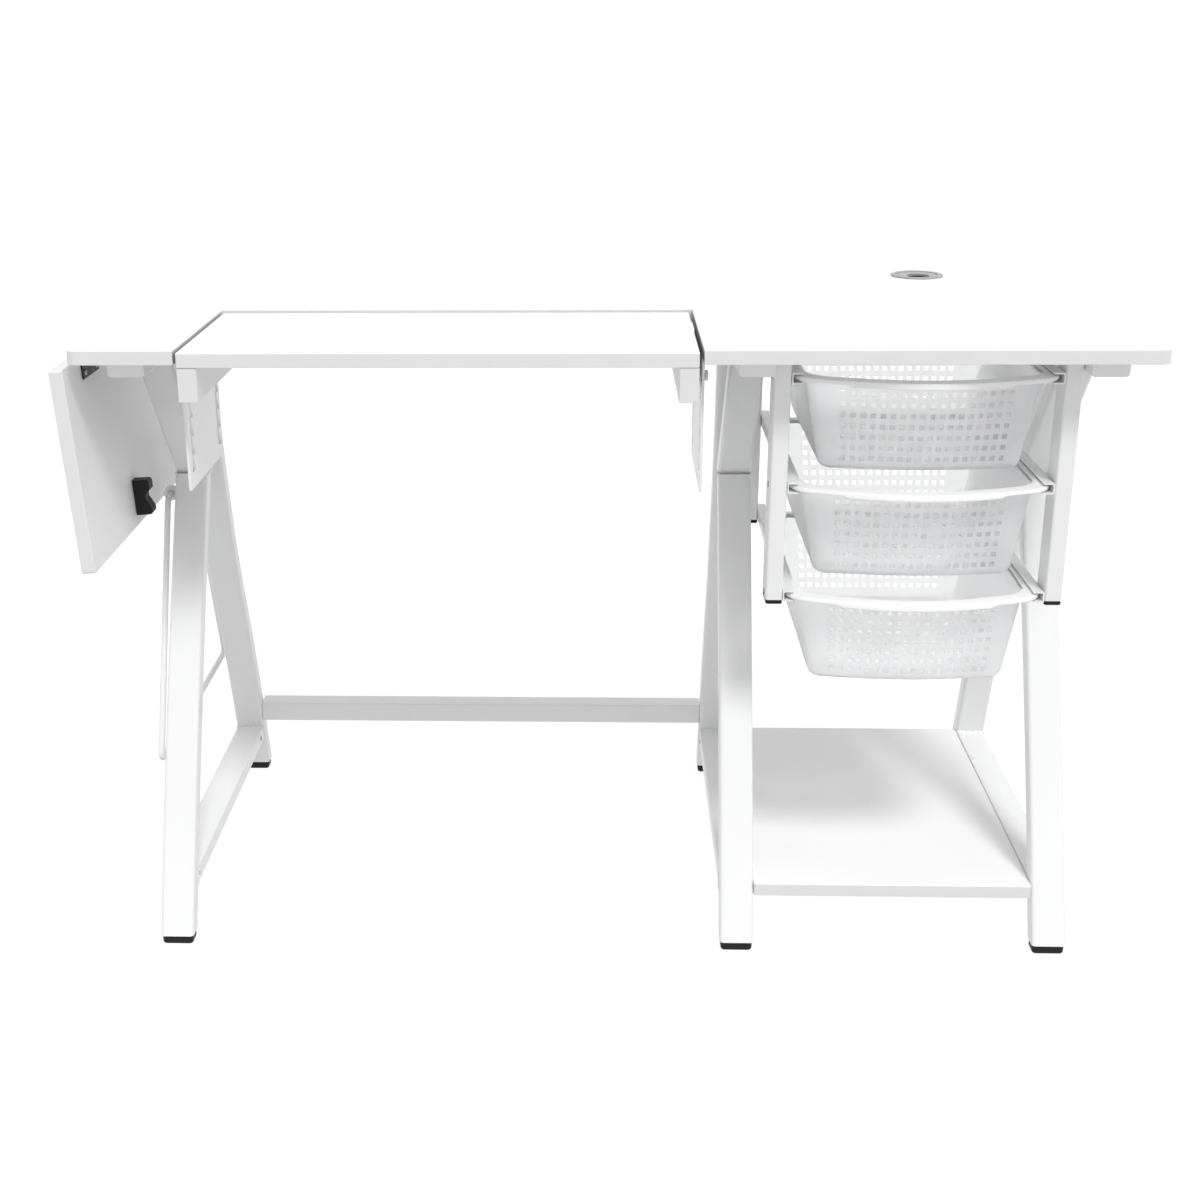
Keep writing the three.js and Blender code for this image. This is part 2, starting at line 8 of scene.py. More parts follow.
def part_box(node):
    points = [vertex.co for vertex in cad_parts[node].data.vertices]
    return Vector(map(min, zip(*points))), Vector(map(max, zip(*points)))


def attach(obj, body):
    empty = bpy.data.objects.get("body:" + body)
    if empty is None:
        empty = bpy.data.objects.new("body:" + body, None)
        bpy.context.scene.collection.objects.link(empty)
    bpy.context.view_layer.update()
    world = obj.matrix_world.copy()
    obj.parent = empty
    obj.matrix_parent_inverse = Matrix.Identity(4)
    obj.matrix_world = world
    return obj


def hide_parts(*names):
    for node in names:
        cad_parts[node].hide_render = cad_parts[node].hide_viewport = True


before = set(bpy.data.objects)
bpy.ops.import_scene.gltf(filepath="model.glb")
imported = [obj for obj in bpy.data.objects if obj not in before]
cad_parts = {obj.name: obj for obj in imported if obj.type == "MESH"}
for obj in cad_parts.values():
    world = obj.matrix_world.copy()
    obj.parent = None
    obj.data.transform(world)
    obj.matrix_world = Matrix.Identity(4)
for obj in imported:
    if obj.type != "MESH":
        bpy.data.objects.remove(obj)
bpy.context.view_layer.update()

# ---------------------------------------------------------------- sizes, in millimetres
# X runs along the desk from its middle, Y away from the sitter from its middle, Z up from the floor.
SHIFT = (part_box("desktop")[0].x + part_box("desktop")[1].x) / 2 * 1000

GAP = 0.3  # clearance between pieces that touch
DESK_HALF_WIDTH = 605
DESK_HALF_DEPTH = 298.5
DESK_CORNER = 12
DESK_TOP = 768
BOARD = 16
BOARD_BOTTOM = DESK_TOP - BOARD
NOTCH_LEFT, NOTCH_RIGHT, NOTCH_BACK = -485, 100, -34
PLATFORM_LEFT, PLATFORM_RIGHT, PLATFORM_BACK, PLATFORM_TOP = -482, 95, -38, 765
CLEAT_WIDTH, CLEAT_BACK = 22, -60
PEG_RADIUS, PEG_HEAD, PEG_HEAD_LENGTH, PEG_PLACES, PEG_Z = 3, 6, 4, (-237.2, -100.2), 728
PLATE_FRONT, PLATE_BACK, PLATE_BOTTOM, PLATE_SHEET, PLATE_FLANGE = -255, -80, 596, 3, 26
SLOT_FRONTS, SLOT_TOP, SLOT_CHANNEL = (-241, -104), 732.5, 7.6
SLOT_POCKET, SLOT_PITCH, SLOT_COUNT = 18, 22, 6
HINGE_X, HINGE_Z, HINGE_DROP = -606.5, 749, 3
LEAF_SPAN, LEAF_INSET = 238, 2
HANG = math.radians(-93.7)
FRAME_X = {"left": -547, "middle": 161, "right": 549}
TUBE_WIDTH, TUBE_DEPTH = 42, 25
STEEL_TOP = BOARD_BOTTOM - GAP
RAIL_BOTTOM = STEEL_TOP - 20
RAIL_REACH = 267
KNEE_Z = 548
FOOT_HEIGHT = 12
BAR_TOP, BAR_HEIGHT = 82, 22
GROMMET, GROMMET_HOLE = (422, 235), 30.6
COVER_RADIUS, COVER_NOTCH, COVER_NOTCH_Y = 27, 14.5, -6
POST_RIVETS = (724.5, 596.5, 465)
RUNNER_WALL = 1.6
BASKET_WALL, BASKET_RIM_HEIGHT, BASKET_BOW = 1.8, 6, 38
HOLE, PITCH_X, PITCH_Z, COLUMNS, ROWS, FIRST_ROW = 6.2, 11.2, 13.1, 18, 7, 15
LIP_HALF, LIP_DROP = 90, 2.4
HINGE_LENGTH, HINGE_LEAF, HINGE_SHEET, HINGE_KNUCKLE, HINGE_PIN = 64, 27, 1.5, 3.2, 1.6
HINGE_MIDDLE = {"front": -200, "rear": 200}
CATCH_NEAR, CATCH_FAR, CATCH_DEPTH, CATCH_WIDTH = 182, 227, 21.5, 18
CATCH_FRONT = {"front": -106, "rear": 166}
SEAT_REACH, SEAT_BELOW = 203, 19.5
BAIL_X, BAIL_PIVOT_Z, BAIL_ROD, BAIL_BEND = -578, 520, 4, 14
EYE_OUTER, EYE_BORE, EYE_LENGTH, EYE_FRONT = 9.6, 4.5, 10, {"front": 3, "rear": 97}


# ---------------------------------------------------------------- materials
def node(tree, kind, **inputs):
    made = tree.nodes.new(kind)
    for name, value in inputs.items():
        made.inputs[name.replace("_", " ")].default_value = value
    return made


def material(name, light, dark, rough, blotch, grain, bump, edge_shade=0.0, **shader):
    """A moulded, painted or laminated surface.

    It has slow blotches of colour and gloss between two values each, a fine grain in the normal and, if
    asked, painted shade that darkens its sharp outer edges. Further arguments go to the shader's sockets.
    """
    made = bpy.data.materials.new(name)
    made.use_nodes = True
    tree = made.node_tree
    link = tree.links.new
    body = tree.nodes["Principled BSDF"]
    for socket, value in shader.items():
        body.inputs[socket.replace("_", " ")].default_value = value
    place = tree.nodes.new("ShaderNodeTexCoord")
    slow = node(tree, "ShaderNodeTexNoise", Scale=blotch, Detail=2.0, Roughness=0.45)
    fine = node(tree, "ShaderNodeTexNoise", Scale=grain, Detail=3.0, Roughness=0.55)
    link(place.outputs["Object"], slow.inputs["Vector"])
    link(place.outputs["Object"], fine.inputs["Vector"])
    tint = tree.nodes.new("ShaderNodeMix")
    tint.data_type = "RGBA"
    tint.inputs["A"].default_value = (*dark, 1)
    tint.inputs["B"].default_value = (*light, 1)
    spread = node(tree, "ShaderNodeMapRange", From_Min=0.2, From_Max=0.8)
    link(slow.outputs["Fac"], spread.inputs["Value"])
    link(spread.outputs["Result"], tint.inputs["Factor"])
    colour = tint.outputs["Result"]
    # Sharp outer edges are painted darker, as shade, by up to the given share.
    if edge_shade:
        shape = tree.nodes.new("ShaderNodeNewGeometry")
        edge = node(tree, "ShaderNodeMapRange", From_Min=0.5, From_Max=0.62, To_Max=edge_shade)
        edge_shade_mix = tree.nodes.new("ShaderNodeMix")
        edge_shade_mix.data_type = "RGBA"
        edge_shade_mix.inputs["B"].default_value = (*[c * 0.72 for c in dark], 1)
        link(shape.outputs["Pointiness"], edge.inputs["Value"])
        link(edge.outputs["Result"], edge_shade_mix.inputs["Factor"])
        link(colour, edge_shade_mix.inputs["A"])
        colour = edge_shade_mix.outputs["Result"]
    link(colour, body.inputs["Base Color"])
    gloss = node(tree, "ShaderNodeMapRange", From_Min=0.2, From_Max=0.8, To_Min=rough[0], To_Max=rough[1])
    link(slow.outputs["Fac"], gloss.inputs["Value"])
    link(gloss.outputs["Result"], body.inputs["Roughness"])
    relief = node(tree, "ShaderNodeBump", Strength=bump, Distance=0.0004)
    link(fine.outputs["Fac"], relief.inputs["Height"])
    link(relief.outputs["Normal"], body.inputs["Normal"])
    return made


LAMINATE = material(
    "white_laminate", (0.9, 0.9, 0.895), (0.87, 0.87, 0.865), rough=(0.38, 0.5),
    blotch=9, grain=1400, bump=0.06, edge_shade=0.15,
)
# The edge band is the same white as the top; here it is painted darker as shade on the upright sides.
EDGE_BAND_PAINTED_SHADE = material(
    "white_edge_band_painted_shade", (0.76, 0.76, 0.757), (0.74, 0.74, 0.737), rough=(0.4, 0.55),
    blotch=30, grain=700, bump=0.05, edge_shade=0.1,
)
CHIPBOARD = material(
    "chipboard_core", (0.5, 0.38, 0.25), (0.3, 0.21, 0.12), rough=(0.8, 0.95),
    blotch=400, grain=900, bump=0.5,
)
POWDER = material(
    "white_powder_coat", (0.837, 0.84, 0.843), (0.827, 0.83, 0.833), rough=(0.27, 0.33),
    blotch=8, grain=1900, bump=0.05,
)
WELD = material(
    "painted_weld", (0.8, 0.8, 0.8), (0.62, 0.62, 0.62), rough=(0.3, 0.5),
    blotch=90, grain=1500, bump=0.3,
)
# Near black painted shade, for screw slots, hollows and faces that are always in shadow.
PAINTED_SHADE_BLACK = material(
    "painted_shade_black", (0.02, 0.02, 0.02), (0.012, 0.012, 0.012), rough=(0.7, 0.9),
    blotch=50, grain=900, bump=0.1,
)
BLACK_PLASTIC = material(
    "black_moulded_plastic", (0.009, 0.009, 0.0095), (0.006, 0.006, 0.0065), rough=(0.4, 0.55),
    blotch=40, grain=2200, bump=0.3, Specular_IOR_Level=0.25,
)
BLACK_STEEL = material(
    "black_coated_steel", (0.02, 0.02, 0.021), (0.012, 0.012, 0.013), rough=(0.3, 0.5),
    blotch=60, grain=1700, bump=0.2, Metallic=0.4, Specular_IOR_Level=0.3,
)
ZINC = material(
    "zinc_screw", (0.62, 0.63, 0.65), (0.45, 0.46, 0.48), rough=(0.25, 0.45),
    blotch=160, grain=1800, bump=0.15, Metallic=1.0,
)
BASKET = material(
    "frosted_basket_plastic", (0.985, 0.988, 0.99), (0.965, 0.97, 0.975), rough=(0.36, 0.5),
    blotch=14, grain=1100, bump=0.1, Transmission_Weight=0.78, IOR=1.12, Specular_IOR_Level=0.6,
)
BASKET_RIM = material(
    "basket_rim_plastic", (0.985, 0.985, 0.988), (0.97, 0.972, 0.975), rough=(0.28, 0.4),
    blotch=20, grain=1100, bump=0.08, Transmission_Weight=0.06, IOR=1.4,
)
GREY_PLASTIC = material(
    "grey_moulded_plastic", (0.36, 0.37, 0.38), (0.3, 0.31, 0.32), rough=(0.35, 0.5),
    blotch=50, grain=1900, bump=0.25,
)


# ---------------------------------------------------------------- mesh helpers
def place(point):
    return Vector(((point[0] + SHIFT) / 1000, point[1] / 1000, point[2] / 1000))


def node_box(name):
    """The lowest and highest corner of a CAD node, in millimetres on the desk's axes."""
    low, high = (Vector(corner) * 1000 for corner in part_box(name))
    low.x -= SHIFT
    high.x -= SHIFT
    return low, high


def hung(point):
    """Takes a point given with the leaf raised to where it is with the leaf hanging."""
    x, z = point[0] - HINGE_X, point[2] - HINGE_Z
    turned = (x * math.cos(HANG) + z * math.sin(HANG), -x * math.sin(HANG) + z * math.cos(HANG))
    return (HINGE_X + turned[0], point[1], HINGE_Z + turned[1])


def piece(name, bm, materials, body="root", stands_for=(), sharp=32, where=None, weighted=True):
    """Makes an object from a bmesh in millimetres, and says what it rides on and what it stands for."""
    for vert in bm.verts:
        point = vert.co
        if where:
            point = where(point)
        vert.co = place(point)
    bmesh.ops.recalc_face_normals(bm, faces=bm.faces)
    limit = math.radians(sharp)
    for face in bm.faces:
        face.smooth = True
    for edge in bm.edges:
        edge.smooth = len(edge.link_faces) == 2 and edge.calc_face_angle(0) < limit
    mesh = bpy.data.meshes.new(name)
    bm.to_mesh(mesh)
    bm.free()
    for entry in materials if isinstance(materials, (list, tuple)) else [materials]:
        mesh.materials.append(entry)
    made = bpy.data.objects.new(name, mesh)
    bpy.context.scene.collection.objects.link(made)
    if weighted:
        made.modifiers.new("normals", "WEIGHTED_NORMAL").keep_sharp = True
    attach(made, body)
    if stands_for:
        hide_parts(*([stands_for] if isinstance(stands_for, str) else stands_for))
    return made


def add_loft(bm, loops, close_ends=True, index=0):
    """Skins equal closed loops of points, in order."""
    rings = [[bm.verts.new(point) for point in loop] for loop in loops]
    count = len(rings[0])
    for low, high in zip(rings, rings[1:]):
        for i in range(count):
            face = bm.faces.new((low[i], low[(i + 1) % count], high[(i + 1) % count], high[i]))
            face.material_index = index
    if close_ends:
        for ring in (rings[0][::-1], rings[-1]):
            bm.faces.new(ring).material_index = index
    return rings


def rounded(x0, x1, y0, y1, radius, steps=5):
    """A rounded rectangle as a list of pairs, anticlockwise."""
    points = []
    for cx, cy, start in (
        (x1 - radius, y0 + radius, -90), (x1 - radius, y1 - radius, 0),
        (x0 + radius, y1 - radius, 90), (x0 + radius, y0 + radius, 180),
    ):
        for i in range(steps + 1):
            angle = math.radians(start + 90 * i / steps)
            points.append((cx + radius * math.cos(angle), cy + radius * math.sin(angle)))
    return points


def add_block(bm, x0, x1, y0, y1, z0, z1, radius=1.0, rim=0.6, index=0):
    """An upright block with rounded corners and softened top and bottom edges."""
    def ring(inset, z):
        r = max(radius - inset, 0.05)
        return [(x, y, z) for x, y in rounded(x0 + inset, x1 - inset, y0 + inset, y1 - inset, r)]
    soft = rim * 0.3
    levels = [(rim, z0), (soft, z0 + soft), (0, z0 + rim), (0, z1 - rim), (soft, z1 - soft), (rim, z1)]
    add_loft(bm, [ring(inset, z) for inset, z in levels], index=index)


# How a part made upright is turned to stand along another axis.
TURNS = {
    "Z": Matrix.Identity(3),
    "-Z": Matrix(((1, 0, 0), (0, -1, 0), (0, 0, -1))),
    "X": Matrix(((0, 0, 1), (1, 0, 0), (0, 1, 0))),
    "-X": Matrix(((0, 0, -1), (-1, 0, 0), (0, 1, 0))),
    "Y": Matrix(((0, 1, 0), (0, 0, 1), (1, 0, 0))),
}


def add_turned(bm, profile, centre, axis="Z", steps=28, index=0):
    """Turns a profile of radius and height pairs round an axis through a centre, and closes both ends."""
    turn = TURNS[axis]
    loops = []
    for radius, height in profile:
        loop = []
        for i in range(steps):
            angle = 2 * math.pi * i / steps
            local = Vector((radius * math.cos(angle), radius * math.sin(angle), height))
            loop.append(Vector(centre) + turn @ local)
        loops.append(loop)
    add_loft(bm, loops, index=index)


def add_ring(bm, profile, centre, steps=48, index=0):
    """A closed ring round an upright axis, from a closed profile of radius and height pairs."""
    rings = []
    for radius, height in profile:
        ring = []
        for i in range(steps):
            angle = 2 * math.pi * i / steps
            ring.append(bm.verts.new((
                centre[0] + radius * math.cos(angle), centre[1] + radius * math.sin(angle), height,
            )))
        rings.append(ring)
    for low, high in zip(rings, rings[1:] + rings[:1]):
        for i in range(steps):
            face = bm.faces.new((low[i], low[(i + 1) % steps], high[(i + 1) % steps], high[i]))
            face.material_index = index


def add_sweep(bm, points, radius, sides=14, index=0, closed=False):
    """A round rod along points. The radius is a number or a function of the point's number."""
    count = len(points)
    points = [Vector(p) for p in points]
    tangents = []
    for i in range(count):
        before = points[i - 1] if closed or i else points[i]
        after = points[(i + 1) % count] if closed or i < count - 1 else points[i]
        tangents.append((after - before).normalized())
    up = Vector((1, 0, 0)) if abs(tangents[0].x) < 0.8 else Vector((0, 1, 0))
    normal = (up - tangents[0] * up.dot(tangents[0])).normalized()
    rings = []
    for i in range(count):
        normal = (normal - tangents[i] * normal.dot(tangents[i])).normalized()
        side = tangents[i].cross(normal)
        r = radius(i) if callable(radius) else radius
        ring = []
        for k in range(sides):
            angle = 2 * math.pi * k / sides
            ring.append(bm.verts.new(points[i] + (normal * math.cos(angle) + side * math.sin(angle)) * r))
        rings.append(ring)
    pairs = list(zip(rings, rings[1:] + (rings[:1] if closed else [])))
    for low, high in pairs:
        for i in range(sides):
            face = bm.faces.new((low[i], low[(i + 1) % sides], high[(i + 1) % sides], high[i]))
            face.material_index = index
    if not closed:
        bm.faces.new(rings[0][::-1]).material_index = index
        bm.faces.new(rings[-1]).material_index = index


def filled(outlines, z0, z1, edge=0.5):
    """A flat board with softened edges, as a bmesh, from an outline and the outlines of its holes."""
    curve = bpy.data.curves.new("outline", "CURVE")
    curve.dimensions = "2D"
    curve.fill_mode = "BOTH"
    curve.extrude = (z1 - z0) / 2 - edge
    curve.bevel_depth = edge
    curve.bevel_resolution = 2
    curve.offset = -edge
    for outline in outlines:
        spline = curve.splines.new("POLY")
        spline.points.add(len(outline) - 1)
        for point, (x, y) in zip(spline.points, outline):
            point.co = (x, y, 0, 1)
        spline.use_cyclic_u = True
    holder = bpy.data.objects.new("outline", curve)
    bpy.context.scene.collection.objects.link(holder)
    mesh = bpy.data.meshes.new_from_object(holder.evaluated_get(bpy.context.evaluated_depsgraph_get()))
    bpy.data.objects.remove(holder)
    bm = bmesh.new()
    bm.from_mesh(mesh)
    bpy.data.meshes.remove(mesh)
    bmesh.ops.remove_doubles(bm, verts=bm.verts, dist=0.01)
    for vert in bm.verts:
        vert.co.z += (z0 + z1) / 2
    # Upright sides take the second slot; on the boards that is the edge band with its painted shade.
    for face in bm.faces:
        face.material_index = 0 if abs(face.normal.z) > 0.5 else 1
    return bm


def circle(cx, cy, radius, steps=48):
    turn = 2 * math.pi / steps
    return [(cx + radius * math.cos(i * turn), cy + radius * math.sin(i * turn)) for i in range(steps)]


def add_screw(bm, centre, axis, radius=3.6, index=0, slot_shade_index=1):
    """A pan head with a cross cut into it, standing on a face. The cross cut and the middle of the head are
    painted near black as shade.
    """
    depth = radius * 0.5
    base = Vector(centre)
    turn = TURNS[axis]
    steps, rings = 32, [1.0, 0.97, 0.86, 0.7, 0.56, 0.42, 0.3, 0.2, 0.1]

    def vertex(across, along, height):
        return bm.verts.new(base + turn @ Vector((radius * across, radius * along, height)))

    directions = circle(0, 0, 1, steps)
    previous = [vertex(x, y, -0.2) for x, y in directions]
    for share in rings:
        ring = []
        for dx, dy in directions:
            x, y = share * dx, share * dy
            height = depth * math.sqrt(max(0.0, 1 - (share * 0.96) ** 2))
            if share < 0.6 and min(abs(x), abs(y)) < 0.11:
                height -= depth * 0.55
            ring.append(vertex(x, y, height))
        for i in range(steps):
            face = bm.faces.new((previous[i], previous[(i + 1) % steps], ring[(i + 1) % steps], ring[i]))
            x = math.cos(2 * math.pi * (i + 0.5) / steps) * share
            y = math.sin(2 * math.pi * (i + 0.5) / steps) * share
            face.material_index = slot_shade_index if share < 0.5 and min(abs(x), abs(y)) < 0.08 else index
        previous = ring
    bm.faces.new(previous).material_index = slot_shade_index


# ---------------------------------------------------------------- desktop, platform and grommet
def desk_outline():
    w, d, r = DESK_HALF_WIDTH, DESK_HALF_DEPTH, DESK_CORNER
    points = []

    def corner(cx, cy, start):
        for i in range(9):
            angle = math.radians(start + 90 * i / 8)
            points.append((cx + r * math.cos(angle), cy + r * math.sin(angle)))

    points.extend([(NOTCH_LEFT, -d), (NOTCH_LEFT, NOTCH_BACK)])
    points.extend([(NOTCH_RIGHT, NOTCH_BACK), (NOTCH_RIGHT, -d)])
    corner(w - r, -d + r, -90)
    corner(w - r, d - r, 0)
    corner(-w + r, d - r, 90)
    corner(-w + r, -d + r, 180)
    return points


def build_desktop():
    bm = filled([desk_outline(), circle(*GROMMET, GROMMET_HOLE)], BOARD_BOTTOM, DESK_TOP, 0.7)
    # The side of the cable hole is raw chipboard.
    for face in bm.faces:
        middle = face.calc_center_median()
        from_hole = math.hypot(middle.x - GROMMET[0], middle.y - GROMMET[1])
        if face.material_index == 1 and from_hole < GROMMET_HOLE + 1:
            face.material_index = 2
    materials = [LAMINATE, EDGE_BAND_PAINTED_SHADE, CHIPBOARD]
    piece("desktop_board", bm, materials, stands_for="desktop", sharp=50)


def build_platform():
    outline = rounded(PLATFORM_LEFT, PLATFORM_RIGHT, -DESK_HALF_DEPTH, PLATFORM_BACK, 2, 3)
    bm = filled([outline], PLATFORM_TOP - BOARD, PLATFORM_TOP, 0.7)
    # The two ends face the notch and are always in its shadow, so they are painted near black as shade.
    for face in bm.faces:
        if abs(face.normal.x) > 0.9:
            face.material_index = 2
    materials = [LAMINATE, EDGE_BAND_PAINTED_SHADE, PAINTED_SHADE_BLACK]
    piece("platform_board", bm, materials, "platform", "sewing_platform", 50)
    for side in ("left", "right"):
        low, high = node_box(f"platform_cleat_{side}")
        if side == "left":
            x0, face_x, tip_x, out, axis = PLATFORM_LEFT, PLATFORM_LEFT, low.x, -1, "-X"
        else:
            x0, face_x, tip_x, out, axis = PLATFORM_RIGHT - CLEAT_WIDTH, PLATFORM_RIGHT, high.x, 1, "X"
        bm = bmesh.new()
        add_block(bm, x0, x0 + CLEAT_WIDTH, -DESK_HALF_DEPTH + 1, CLEAT_BACK, low.z, high.z, 1.6, 1.2)
        shank = abs(tip_x - face_x) - PEG_HEAD_LENGTH
        head = [
            (0.4, 0), (PEG_HEAD - 0.8, 0), (PEG_HEAD, 0.7), (PEG_HEAD, 3.0), (PEG_HEAD - 0.8, 3.8),
            (2.6, PEG_HEAD_LENGTH), (2.4, 2.2), (0.3, 2.2),
        ]
        for y in PEG_PLACES:
            add_turned(bm, [(PEG_RADIUS, -1), (PEG_RADIUS, shank + 0.2)], (face_x, y, PEG_Z), axis, index=1)
            add_turned(bm, head, (face_x + out * shank, y, PEG_Z), axis, index=1)
        # The sunk screw hollows under the cleat are painted near black as shade.
        sunk = [(4.2, -0.1), (4.2, 0.25), (3.4, 0.3), (3.2, -1.5)]
        for y in (-275, -180, -85):
            add_turned(bm, sunk, (x0 + CLEAT_WIDTH / 2, y, low.z), "-Z", index=2)
        # The cleat body takes the edge band white with its painted shade.
        materials = [EDGE_BAND_PAINTED_SHADE, WELD, PAINTED_SHADE_BLACK]
        piece(f"cleat_{side}", bm, materials, "platform", f"platform_cleat_{side}")


def build_grommet():
    x, y = GROMMET
    top = DESK_TOP + GAP
    ledge = DESK_TOP - 1.8
    foot = BOARD_BOTTOM - 2
    bm = bmesh.new()
    add_ring(bm, [
        (25.6, foot), (29.0, foot), (29.8, foot + 1), (29.8, top), (35.0, top), (35.6, top + 0.5),
        (35.3, top + 1.1), (34.4, top + 1.7), (33.4, top + 2.0), (28.6, top + 2.0), (27.9, top + 1.8),
        (27.6, top + 1.3), (27.6, ledge), (25.6, ledge),
    ], (x, y), 64)
    # The inside of the sleeve is always in shadow, so it is painted near black as shade.
    for face in bm.faces:
        middle = face.calc_center_median()
        if middle.z < DESK_TOP - 1 and math.hypot(middle.x - x, middle.y - y) < 29:
            face.material_index = 1
    piece("cable_ring", bm, [GREY_PLASTIC, PAINTED_SHADE_BLACK], stands_for="grommet_ring")
    half, radius = COVER_NOTCH, COVER_RADIUS
    edge = math.sqrt(radius ** 2 - half ** 2)
    start, end = math.atan2(-edge, half), math.atan2(-edge, -half) + 2 * math.pi
    outline = []
    for i in range(61):
        angle = start + (end - start) * i / 60
        outline.append((x + radius * math.cos(angle), y + radius * math.sin(angle)))
    for i in range(21):
        angle = math.pi - math.pi * i / 20
        outline.append((x + half * math.cos(angle), y + COVER_NOTCH_Y + half * math.sin(angle)))
    bm = filled([outline], DESK_TOP - 1.5, DESK_TOP + 1.5, 0.5)
    for face in bm.faces:
        face.material_index = 0
    piece("cable_cover", bm, GREY_PLASTIC, "cable_cover", "grommet_cover", 40)


# ---------------------------------------------------------------- height plates
def slot_outline(front):
    """One slot of a height plate in Y and Z: a straight channel with a row of hooked pockets behind it."""
    tip, deep, top = front + SLOT_CHANNEL, front + SLOT_POCKET, SLOT_TOP
    low = PEG_Z - (SLOT_COUNT - 1) * SLOT_PITCH - 5
    points = [(front, low + 3), (front, top - 3), (front + 0.9, top - 0.9), (front + 3, top), (tip, top)]
    for k in range(SLOT_COUNT):
        seat = PEG_Z - PEG_RADIUS - k * SLOT_PITCH
        if k:
            points.append((tip, seat + 14))
        points += [
            (deep - 6.5, seat + 6.5), (deep - 3, seat + 3), (deep - 0.6, seat + 0.3), (deep, seat - 2),
            (deep - 1.2, seat - 4), (deep - 4, seat - 4.5), (tip + 1.4, seat - 2.2), (tip, seat - 1.5),
        ]
    points[-1] = (tip, low + 0.6)
    points += [(tip - 1, low), (front + 3, low), (front + 0.9, low + 0.9)]
    return points


def build_height_plates():
    plate = rounded(PLATE_FRONT, PLATE_BACK, PLATE_BOTTOM, STEEL_TOP, 2.5, 4)
    outlines = [plate] + [slot_outline(front) for front in SLOT_FRONTS]
    for side in ("left", "right"):
        x_near, out = (NOTCH_LEFT - GAP, -1) if side == "left" else (NOTCH_RIGHT + GAP, 1)
        bm = filled(outlines, 0, PLATE_SHEET, 0.35)
        for vert in bm.verts:
            y, z, depth = vert.co
            vert.co = (x_near + out * depth, y, z)
        x0, x1 = sorted((x_near, x_near + out * PLATE_FLANGE))
        flange_bottom = STEEL_TOP - PLATE_SHEET
        add_block(bm, x0, x1, PLATE_FRONT, PLATE_BACK, flange_bottom, STEEL_TOP, 2.4, 0.4)
        for face in bm.faces:
            face.material_index = 0
        for y in (-235, -168, -100):
            add_screw(bm, (x_near + out * 16, y, flange_bottom), "-Z", 4.0, 1, 2)
        materials = [POWDER, ZINC, PAINTED_SHADE_BLACK]
        name = f"toothed_plate_{side}"
        piece(name, bm, materials, stands_for=f"height_plate_{side}", sharp=40)


# ---------------------------------------------------------------- leg frames
def front_leg_line(z):
    """Centre in Y and slope dY/dZ of the front leg at a height."""
    low, bend, high = (-249, FOOT_HEIGHT), (-142, 270), (10, KNEE_Z)
    a, b = 0.0, 1.0
    for _ in range(40):
        t = (a + b) / 2
        at = (1 - t) ** 2 * low[1] + 2 * t * (1 - t) * bend[1] + t * t * high[1]
        a, b = (t, b) if at < z else (a, t)
    y = (1 - t) ** 2 * low[0] + 2 * t * (1 - t) * bend[0] + t * t * high[0]
    dy = 2 * (1 - t) * (bend[0] - low[0]) + 2 * t * (high[0] - bend[0])
    dz = 2 * (1 - t) * (bend[1] - low[1]) + 2 * t * (high[1] - bend[1])
    return y, dy / dz


def strut_line(z):
    slope = (-135 - 19) / (RAIL_BOTTOM - KNEE_Z)
    return 19 + (z - KNEE_Z) * slope, slope


REAR_LEG = [(276, FOOT_HEIGHT), (240, 128), (202, 235), (140, 390), (98, 545), (85, 640), (85, RAIL_BOTTOM)]


def rear_leg_line(z):
    """Centre and slope of the rear leg: a uniform Catmull-Rom curve through its points."""
    def at(share):
        p = (len(REAR_LEG) - 1) * share
        i = min(int(p), len(REAR_LEG) - 2)
        w = p - i
        last = len(REAR_LEG) - 1
        ends = [REAR_LEG[k] for k in (max(i - 1, 0), i, i + 1, min(i + 2, last))]
        values = []
        for k in (0, 1):
            a, b, c, d = (end[k] for end in ends)
            v0, v1 = (c - a) / 2, (d - b) / 2
            cubic = 2 * b - 2 * c + v0 + v1
            square = -3 * b + 3 * c - 2 * v0 - v1
            values.append(cubic * w ** 3 + square * w ** 2 + v0 * w + b)
        return values
    low, high = 0.0, 1.0
    for _ in range(40):
        middle = (low + high) / 2
        low, high = (middle, high) if at(middle)[1] < z else (low, middle)
    here, there = at(max(low - 0.002, 0)), at(min(low + 0.002, 1))
    return at(low)[0], (there[0] - here[0]) / (there[1] - here[1])


def across(line, z):
    """Where a tube's centre line is in Y at a height, and half of what the tube measures along Y there."""
    y, slope = line(z)
    return y, TUBE_DEPTH / 2 * math.sqrt(1 + slope ** 2)


def leg_section(x, line, z):
    y, half = across(line, z)
    wide = TUBE_WIDTH / 2
    return [(px, py, z) for px, py in rounded(x - wide, x + wide, y - half, y + half, 5, 5)]


def bar_section(x):
    """The outline of a low bar in X and Z."""
    half = TUBE_WIDTH / 2 - 1
    return rounded(x - half, x + half, BAR_TOP - BAR_HEIGHT, BAR_TOP, 3, 4)


def add_weld(bm, points, radius):
    """A bead of weld round a joint, with the ripples of one laid by hand."""
    path = []
    count = len(points)
    for i in range(count):
        a, b = Vector(points[i]), Vector(points[(i + 1) % count])
        steps = max(1, round((b - a).length / 0.9))
        path.extend(a.lerp(b, k / steps) for k in range(steps))

    def ripple(i):
        return radius * (1 + 0.16 * math.sin(i * 1.9) + 0.1 * math.sin(i * 0.31))
    add_sweep(bm, path, ripple, 8, closed=True)


def build_frames():
    for side, x in FRAME_X.items():
        build_legs(side, x)
        build_rail(side, x)
        build_bar(side, x)
        build_welds(side, x)
        build_feet(side)


